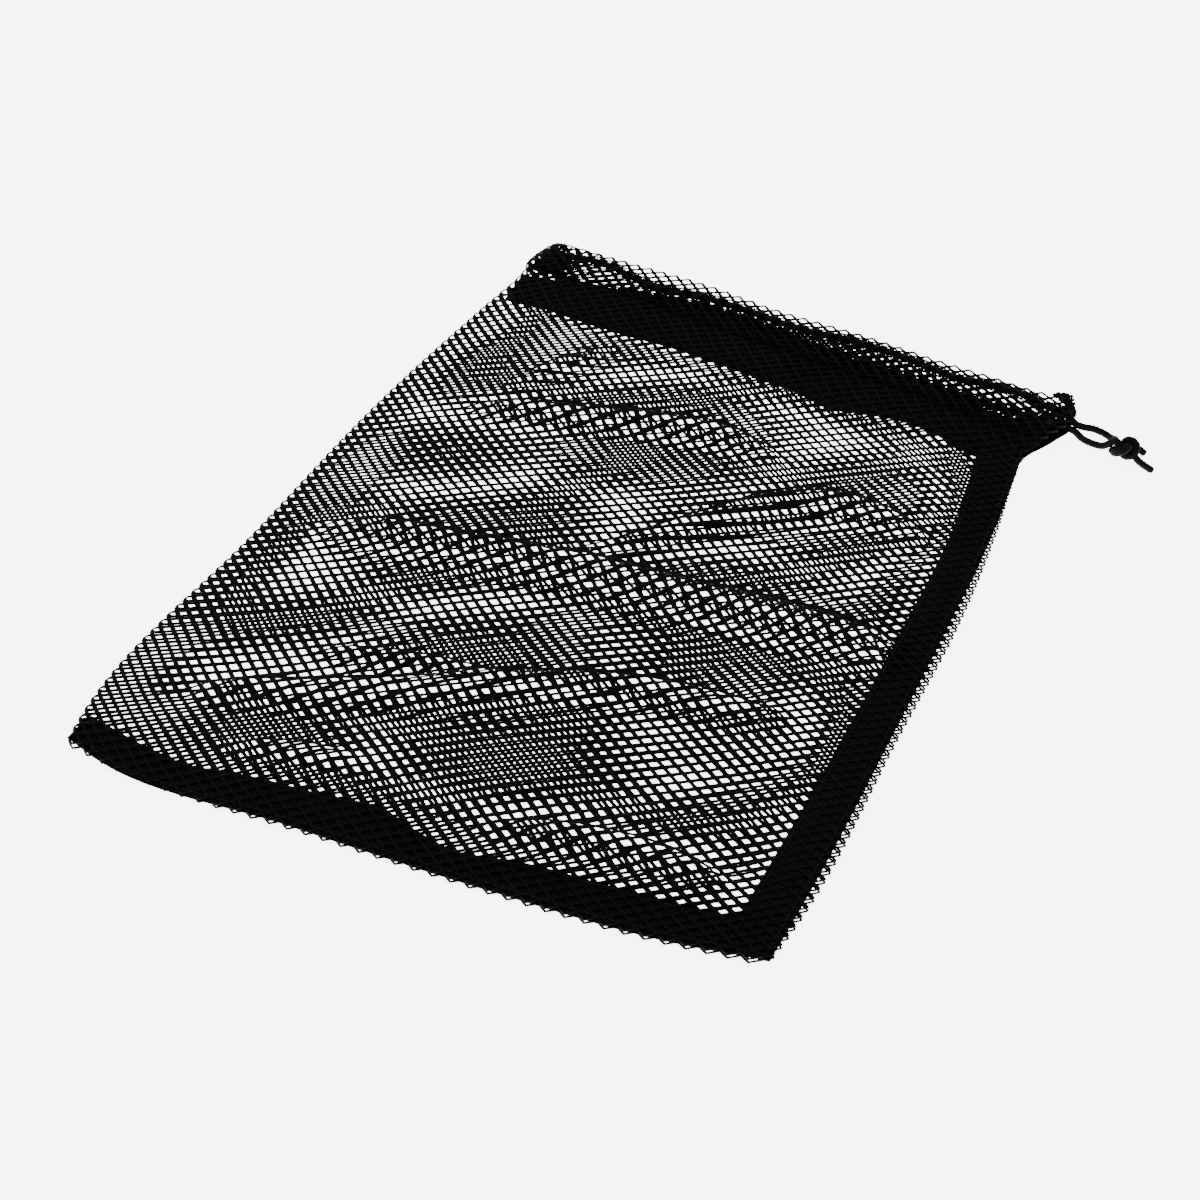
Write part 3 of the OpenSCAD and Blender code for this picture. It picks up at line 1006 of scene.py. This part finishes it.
@dataclass
class Tapes:
    """The woven tapes: inside the side and bottom seams, and along the hem of each layer."""

    cloth: Cloth
    finish: bpy.types.Material
    thick: float = 0.7
    most_apart: float = 1.6
    hem_z: tuple = (0.95, 0.9, 1.9)
    side_span: tuple = (-195, 176.5, 1.5)
    bottom_span: tuple = (-151, 146, 1.5)
    hem_span: tuple = (-138, 148, 2.0)
    side_flat: tuple = (0.0175, 0.37)
    bottom_flat: tuple = (0.0185, 0.296)
    hem_flat: tuple = (0.027, 0.28)
    hem_width: tuple = ((-143, 19), (-125, 23), (-105, 27), (150, 27))
    back_hem_shift: tuple = ((-143, 1), (-122, 6), (-105, 9), (150, 9))
    side_inner: tuple = ((-196, 131), (-150, 132), (-80, 132.5), (0, 131.5), (60, 130), (100, 126.5),
                         (128, 122), (138, 121), (150, 124), (176, 138))
    side_outer: tuple = ((-196, 150), (-150, 151), (-60, 150), (20, 148.5), (60, 147.5), (86, 146),
                         (104, 144.6), (128, 142.4), (140, 141.6), (144, 142.5), (160, 151),
                         (170, 155.5), (176, 154.5))
    bottom_upper: tuple = ((-152, -189), (-122, -195), (-99, -197), (-77, -193), (-38, -189), (-17, -186),
                           (2, -191), (21, -194), (45, -189), (80, -186), (112, -183), (147, -176))
    bottom_lower: tuple = ((-152, -204), (-133, -210), (-44, -209.5), (42, -207), (117, -201), (147, -195))
    hem_lower: tuple = ((-143, 160), (-124, 158), (-96, 154), (-68, 152), (-41, 151), (3, 145), (30, 141),
                        (48, 136), (66, 139), (84, 140), (104, 136.5), (121, 133.5), (134, 137),
                        (142, 146), (150, 158))

    def ribbon(self, name: str, low: Callable, high: Callable, run: np.ndarray, level: Callable,
               across: int = 13) -> bpy.types.Object:
        """Weaves a ribbon between two edges.

        Args:
            name: the piece's name.
            low: gives the points of one edge for run.
            high: gives the points of the other edge.
            run: the marks along the ribbon.
            level: gives the height of the ribbon's middle at each place.
            across: the number of points across it.

        Returns:
            The piece.
        """
        share = np.linspace(0, 1, across)[None, :, None]
        plan = low(run)[:, None] * (1 - share) + high(run)[:, None] * share
        z = level(plan[..., 0], plan[..., 1])
        middle = np.concatenate([plan, z[..., None]], -1)
        normal = np.cross(np.gradient(middle, axis=0), np.gradient(middle, axis=1))
        normal *= np.sign(normal[..., 2:3]) / np.linalg.norm(normal, axis=-1, keepdims=True)
        edge = np.sqrt(np.clip(1 - (2 * share - 1) ** 8, 0.12, 1))
        half = normal * self.thick / 2 * edge
        ring = np.concatenate([middle + half, (middle - half)[:, ::-1]], 1)
        n, m = ring.shape[:2]
        faces = grid_faces(n, m, closed=True)
        caps = [list(range(m)), [(n - 1) * m + k for k in range(m)][::-1]]
        run_length = np.concatenate([[0], np.cumsum(np.linalg.norm(np.diff(middle[:, 0], axis=0), axis=1))])
        wide = np.linalg.norm(middle[:, -1] - middle[:, 0], axis=1)
        both = np.concatenate([share[0, :, 0], share[0, ::-1, 0]])
        uv = np.stack([np.repeat(run_length, m), (wide[:, None] * both).ravel()], 1) * MM
        scaled = ring * np.array([*self.cloth.scale, 1.0]) * MM
        piece = new_piece(name, scaled.reshape(-1, 3), faces.tolist() + caps, self.finish, uv)
        deselect_all()
        piece.select_set(True)
        bpy.context.view_layer.objects.active = piece
        face_outwards()
        bpy.ops.object.shade_smooth_by_angle(angle=math.radians(50))
        return piece

    def build(self) -> None:
        """Weaves the four tapes."""
        cloth = self.cloth

        def across(*knots: tuple) -> Callable:
            """An edge that runs across the bag."""
            return lambda x: np.stack([x, sum(spline(x, one) for one in knots)], 1)

        def along(knots: tuple) -> Callable:
            """An edge that runs along the bag."""
            return lambda y: np.stack([spline(y, knots), y], 1)

        def between(x: np.ndarray, y: np.ndarray) -> np.ndarray:
            """A height between the two layers."""
            low, high = cloth.height(x, y, False), cloth.height(x, y, True)
            return low + 0.5 * np.minimum(high - low, self.most_apart) + 0.05

        side = self.ribbon("side_seam_woven_tape", along(self.side_inner), along(self.side_outer),
                           np.arange(*self.side_span), between)
        bottom = self.ribbon("bottom_seam_woven_tape", across(self.bottom_lower), across(self.bottom_upper),
                             np.arange(*self.bottom_span), lambda x, y: between(x, y) - 0.15)
        span = np.arange(*self.hem_span)
        under_front, over_back, highest = self.hem_z
        front = self.ribbon("front_hem_woven_tape", across(self.hem_lower),
                            across(self.hem_lower, self.hem_width), span,
                            lambda x, y: cloth.height(x, y, True) - under_front)
        back = self.ribbon("back_hem_woven_tape", across(self.hem_lower, self.back_hem_shift),
                           across(self.hem_lower, self.back_hem_shift, self.hem_width), span,
                           lambda x, y: np.minimum(cloth.height(x, y, False) + over_back, highest))
        for piece, node, flat, held in ((side, "side_seam_tape", self.side_flat, "stretched"),
                                        (bottom, "bottom_seam_tape", self.bottom_flat, "stretched"),
                                        (front, "front_hem_tape", self.hem_flat, "laid"),
                                        (back, "back_hem_tape", self.hem_flat, "laid")):
            gather(piece, cloth, Slot.TAPE, node)


@dataclass
class Stitching:
    """The rows of sewing thread on the tapes, and the bar tacks at the outlet."""

    cloth: Cloth
    tapes: Tapes
    finish: bpy.types.Material
    stitch: tuple = (2.7, 0.5, 0.42)
    pitch: float = 3.1
    inset: tuple = (2.2, 2.0)
    spans: tuple = ((-192, 150, 12.0), (-142, 141, 12.0), (-132, 136, 8.0))
    lifts: tuple = (0.45, 0.5, 1.45)
    tack: tuple = (0.0034, 0.0006, 0.0006)
    tack_z: float = 0.0096
    tacks: int = 7

    def row(self, path: np.ndarray, is_front: bool, lift: float) -> tuple[np.ndarray, np.ndarray]:
        """The places and directions of the stitches along a line on the table.

        Args:
            path: the line's points, across and along.
            is_front: which layer the stitches lie on.
            lift: how far over the layer they lie.

        Returns:
            The stitches' middles and directions, in millimetres.
        """
        line = smooth_path(path, self.pitch)
        z = self.cloth.height(line[:, 0], line[:, 1], is_front) + lift
        full = np.stack([line[:, 0] * self.cloth.scale[0], line[:, 1] * self.cloth.scale[1], z], 1)
        return (full[1:] + full[:-1]) / 2, np.diff(full, axis=0)

    def sew(self, name: str, node: str, lines: list, is_front: bool, lift: float) -> None:
        """Sews the rows of one seam and hides the CAD part it stands for."""
        rows = [self.row(line, is_front, lift) for line in lines]
        places = np.concatenate([r[0] for r in rows]) * MM
        along = np.concatenate([r[1] for r in rows])
        piece = copies(name, unit_bead(), places, along, np.array(self.stitch) * MM, self.finish)
        gather(piece, self.cloth, Slot.THREAD, node)

    def build(self) -> None:
        """Sews every seam."""
        t = self.tapes
        y, x, hem_x = (np.arange(*span) for span in self.spans)
        on_seam, on_hem, in_back_hem = self.lifts
        inset, hem_inset = self.inset
        side = [np.stack([spline(y, t.side_inner) + inset, y], 1),
                np.stack([spline(y, t.side_outer) - inset, y], 1)]
        bottom = [np.stack([x, spline(x, t.bottom_upper) - inset], 1),
                  np.stack([x, spline(x, t.bottom_lower) + inset], 1)]
        hem_low = spline(hem_x, t.hem_lower)
        hem = [np.stack([hem_x, hem_low + hem_inset], 1),
               np.stack([hem_x, hem_low + spline(hem_x, t.hem_width) - hem_inset], 1)]
        shift = np.stack([np.zeros_like(hem_x), spline(hem_x, t.back_hem_shift)], 1)
        back_hem = [line + shift for line in hem]
        self.sew("side_seam_stitches", "side_seam_stitching", side, True, on_seam)
        self.sew("bottom_seam_stitches", "bottom_seam_stitching", bottom, True, on_seam)
        self.sew("front_hem_stitches", "front_hem_stitching", hem, True, on_hem)
        self.sew("back_hem_stitches", "back_hem_stitching", back_hem, False, in_back_hem)
        self._bar_tacks()

    def _bar_tacks(self) -> None:
        """Sews the two short dense rows that close the casing beside the cord outlet."""
        lo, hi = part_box("outlet_bar_tacks")
        places, along = [], []
        for middle_y in (lo.y + 0.002, hi.y - 0.002):
            for k in range(self.tacks):
                places.append((hi.x - 0.001, middle_y + (k - self.tacks // 2) * self.tack[1], self.tack_z))
                along.append((1.0, 0.12 * (-1) ** k, 0.0))
        piece = copies("outlet_tack_stitches", unit_bead(), np.array(places), np.array(along),
                       self.tack, self.finish)
        gather(piece, self.cloth, Slot.THREAD, "outlet_bar_tacks")


@dataclass
class FrayedLoops:
    """The little loops of yarn that stand out where the mesh was cut beside the outlet."""

    cloth: Cloth
    finish: bpy.types.Material
    edge: tuple = ((144, 189.5, 8), (149.5, 189.5, 8), (151.5, 186, 7.4), (153.5, 181, 6.5),
                   (154.5, 176, 5.5), (155, 171, 3.6))
    count: int = 42
    radius: float = 1.15
    yarn: float = 0.55
    inset: float = 1.3
    tilt: float = 0.9

    def build(self) -> None:
        """Adds a ring for each loop, tilts it, and joins them into one piece."""
        made = []
        path = smooth_path(self.edge, 0.5)
        for k in range(self.count):
            x, y, z = path[round(k * (len(path) - 1) / (self.count - 1))]
            inset = self.inset * (k % 3)
            lean = math.radians(137.5 * k)
            turn = (self.tilt * math.sin(lean), self.tilt * math.cos(lean), 0)
            deselect_all()
            bpy.ops.mesh.primitive_torus_add(major_segments=16, minor_segments=6,
                                             major_radius=self.radius * MM, minor_radius=self.yarn * MM,
                                             location=((x - inset) * MM, (y - 0.4 * inset) * MM, z * MM),
                                             rotation=turn)
            bpy.ops.object.transform_apply(location=True, rotation=True, scale=True)
            made.append(bpy.context.object)
        for o in made:
            o.select_set(True)
        bpy.context.view_layer.objects.active = made[0]
        bpy.ops.object.join()
        piece = made[0]
        piece.name = "frayed_yarn_loops"
        piece.data.materials.clear()
        piece.data.materials.append(self.finish)
        bpy.ops.object.shade_smooth()
        gather(piece, self.cloth, Slot.MESH)
        log.info("frayed_yarn_loops: %d faces", len(piece.data.polygons))


# ---------------------------------------------------------------- the drawcord

@dataclass
class Drawcord:
    """The braided cord: the loop inside the casings, and the free end with its knot. Millimetres."""

    cloth: Cloth
    finish: bpy.types.Material
    diameter: float = 3.2
    front_run: tuple = (
        (150, 178), (145, 178), (130, 183), (120, 184), (108, 183), (96, 182), (90, 183), (80, 185),
        (67, 188), (53, 190), (40, 191), (21, 190), (2, 191), (-17, 194), (-41, 196), (-55, 195), (-65, 194),
        (-74, 195), (-80, 197), (-86, 199), (-94, 202), (-104, 204), (-112, 205))
    turn: tuple = ((-121, 205.5, 6.8), (-128, 203, 5.8), (-130.5, 198.5, 4.8), (-128, 194, 3.8),
                   (-121, 190.5, 2.8))
    back_run: tuple = (
        (-112, 190), (-100, 190), (-80, 190), (-60, 189), (-40, 188), (-20, 186), (0, 185), (20, 183),
        (40, 182), (60, 181), (80, 179), (100, 177), (120, 175), (145, 173), (150, 173))
    front_strand: tuple = ((150.4, 178, 7.3), (152.5, 176.8, 6.9), (154.5, 175.1, 6.1), (156.8, 173.9, 5.1),
                           (160, 174.7, 3.9), (165, 176.6, 2.9), (170, 176, 2.5), (174.5, 173.5, 2.6))
    back_strand: tuple = ((150.4, 173, 2.4), (153, 173, 2.3), (157.4, 172, 2.1), (161.5, 168.8, 1.8),
                          (165.8, 166.9, 1.8), (172, 166.3, 2))
    long_tail: tuple = ((191, 162, 1.8), (195, 159.5, 1.7), (199, 157.5, 1.7))
    short_tail: tuple = ((189.5, 169.5, 3), (191, 169, 2.4), (192.5, 168.3, 2))
    knot_centre: tuple = (182.5, 166, 4.6)
    knot_r: float = 3.7
    knot_wind: float = 2.3
    long_wind: tuple = (0.4, 150, 560)
    short_wind: tuple = (0.4 + math.pi / 2, 190, 540)
    swing_x: float = 168.0
    sides: int = 16
    strand: float = 2.1
    relief: float = 0.055
    tip: float = 1.2

    def braid(self, name: str, path: np.ndarray, is_cut: bool) -> bpy.types.Object:
        """Sweeps a braided cord along a path.

        Args:
            name: the piece's name.
            path: the cord's middle line, in millimetres.
            is_cut: whether its last end is cut and sealed, and doesn't run on as another piece.

        Returns:
            The piece.
        """
        n, sides = len(path), self.sides
        tangent = np.gradient(path, axis=0)
        tangent /= np.linalg.norm(tangent, axis=1, keepdims=True)
        side = np.zeros_like(path)
        side[0] = np.cross(tangent[0], (0, 0, 1.0))
        for k in range(1, n):
            side[k] = side[k - 1] - (side[k - 1] @ tangent[k]) * tangent[k]
            side[k] /= np.linalg.norm(side[k])
        side[0] /= np.linalg.norm(side[0])
        up = np.cross(tangent, side)
        run = np.concatenate([[0], np.cumsum(np.linalg.norm(np.diff(path, axis=0), axis=1))])
        turn = np.linspace(0, 2 * math.pi, sides, endpoint=False)
        lay = math.pi * run[:, None] / self.strand
        weave = np.abs(np.sin(lay + 2 * turn)) + np.abs(np.sin(lay - 2 * turn))
        radius = self.diameter / 2 * (0.97 + self.relief * weave)
        if is_cut:
            tip = np.clip((run[-1] - run) / self.tip, 0, 1)
            radius = radius * np.sqrt(np.clip(1 - (1 - tip) ** 2, 0.04, 1))[:, None]
        ring = (path[:, None] + radius[..., None] * (np.cos(turn)[None, :, None] * side[:, None]
                                                     + np.sin(turn)[None, :, None] * up[:, None]))
        points = np.concatenate([ring.reshape(-1, 3), path[:1], path[-1:]]) * MM
        faces = grid_faces(n, sides, closed=True)[:, ::-1].tolist()
        last = (n - 1) * sides
        for k in range(sides):
            after = (k + 1) % sides
            faces.append([n * sides, after, k])
            faces.append([n * sides + 1, last + k, last + after])
        uv = np.stack([np.repeat(run * MM, sides), np.tile(turn / (2 * math.pi), n)], 1)
        uv = np.concatenate([uv, [[0, 0]], [[run[-1] * MM, 0]]])
        log.info("%s: %.0f mm long", name, run[-1])
        return new_piece(name, points, faces, self.finish, uv)

    def knot(self, phase: float, start: float, turns: float) -> np.ndarray:
        """One cord's way through the overhand knot: one and a half windings round a ring.

        Args:
            phase: where on the ring's own section it starts, in radians.
            start: the angle at which it comes in, in degrees.
            turns: how far round the ring it goes, in degrees.

        Returns:
            Its points.
        """
        ring = np.radians(np.linspace(start, start + turns, 28))
        wind = 1.5 * (ring - ring[0]) + phase
        reach = self.knot_r + self.knot_wind * np.cos(wind)
        x, y, z = self.knot_centre
        return np.stack([x + reach * np.cos(ring), y + reach * np.sin(ring),
                         z + self.knot_wind * np.sin(wind)], 1)

    def build(self) -> None:
        """Lays the loop and ties the free end."""
        height = self.cloth.height
        front, back = np.array(self.front_run, float), np.array(self.back_run, float)
        front_z = height(front[:, 0], front[:, 1], True)
        front_z[0] = front_z[1] = self.front_strand[0][2]
        back_z = np.full(len(back), self.back_strand[0][2])
        loop = np.concatenate([np.column_stack([front, front_z]), np.array(self.turn, float),
                               np.column_stack([back, back_z])])
        cord = self.braid("braided_cord_loop", smooth_path(loop, 0.7), False)
        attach(cord, CORD)
        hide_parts("drawcord_loop")
        long_path = np.concatenate([self.front_strand, self.knot(*self.long_wind), self.long_tail])
        short_path = np.concatenate([self.back_strand, self.knot(*self.short_wind), self.short_tail])
        self._free_end("free_cord_long_end", long_path,
                       ("front_cord_strand", "cord_knot", "long_cord_tail"))
        self._free_end("free_cord_short_end", short_path,
                       ("back_cord_strand", "short_cord_tail"))

    def _free_end(self, name: str, points: np.ndarray, nodes: tuple) -> None:
        """Makes one free cord: a strand, its way through the knot, and its tail."""
        path = smooth_path(points, 0.6)
        cord = self.braid(name, path, True)
        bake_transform(cord)
        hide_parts(*nodes)
        self.diameter * MM


# ---------------------------------------------------------------- the room

@dataclass
class Studio:
    """A pale table, soft light and the camera."""

    focal: float = 70.0
    azimuth: float = 25.1
    elevation: float = 39.8
    aim: tuple = (0.0061, -0.0334, 0.0)
    distance: float = 1.0096
    table_size: float = 8.0
    table_z: float = -0.0002
    daylight: float = 0.75
    soft_boxes: tuple = (("soft_box_over", (0.1, 0.5, 1.6), (-0.3, 0.0, 0.0), 1.6, 16.0),
                         ("soft_box_left", (-1.3, -0.4, 1.1), (0.3, -0.85, 0.0), 1.0, 8.0))

    def camera(self) -> None:
        """Sets up the camera."""
        data = bpy.data.cameras.new("camera")
        data.lens, data.sensor_width = self.focal, 36.0
        camera = bpy.data.objects.new("camera", data)
        bpy.context.scene.collection.objects.link(camera)
        a, e = math.radians(self.azimuth), math.radians(self.elevation)
        back = np.array([math.sin(a) * math.cos(e), -math.cos(a) * math.cos(e), math.sin(e)])
        camera.location = tuple(np.array(self.aim) + back * self.distance)
        camera.rotation_euler = (math.pi / 2 - e, 0, a)
        bpy.context.scene.camera = camera

    def room(self) -> None:
        """Adds the table, the soft boxes and the light from all round."""
        deselect_all()
        bpy.ops.mesh.primitive_plane_add(size=self.table_size, location=(0, 0, self.table_z))
        table = bpy.context.object
        table.name = "table"
        bpy.ops.object.transform_apply(location=True, rotation=True, scale=True)
        table.data.materials.append(TableFinish().material())
        world = bpy.data.worlds.new("soft_room")
        world.use_nodes = True
        background = world.node_tree.nodes["Background"]
        background.inputs[0].default_value = (1, 1, 1, 1)
        background.inputs[1].default_value = self.daylight
        bpy.context.scene.world = world
        for name, place, turn, size, power in self.soft_boxes:
            light = bpy.data.lights.new(name, "AREA")
            light.size, light.energy = size, power
            lamp = bpy.data.objects.new(name, light)
            lamp.location, lamp.rotation_euler = place, turn
            bpy.context.scene.collection.objects.link(lamp)


def main() -> None:
    """Builds the bag piece by piece."""
    logging.basicConfig(level=logging.INFO, format="%(name)s %(message)s")
    studio = Studio()
    studio.camera()
    cloth = Cloth()
    knit = Knit(cloth)
    yarn, tape, thread = KnitFinish().material(), TapeFinish().material(), ThreadFinish().material()
    cord = Drawcord(cloth, CordFinish().material())
    cord.build()
    MeshBody(cloth, knit, yarn).build()
    CordCasings(cloth, cord, yarn).build()
    tapes = Tapes(cloth, tape)
    tapes.build()
    Stitching(cloth, tapes, thread).build()
    FrayedLoops(cloth, yarn).build()
    studio.room()


if __name__ == "__main__":
    main()
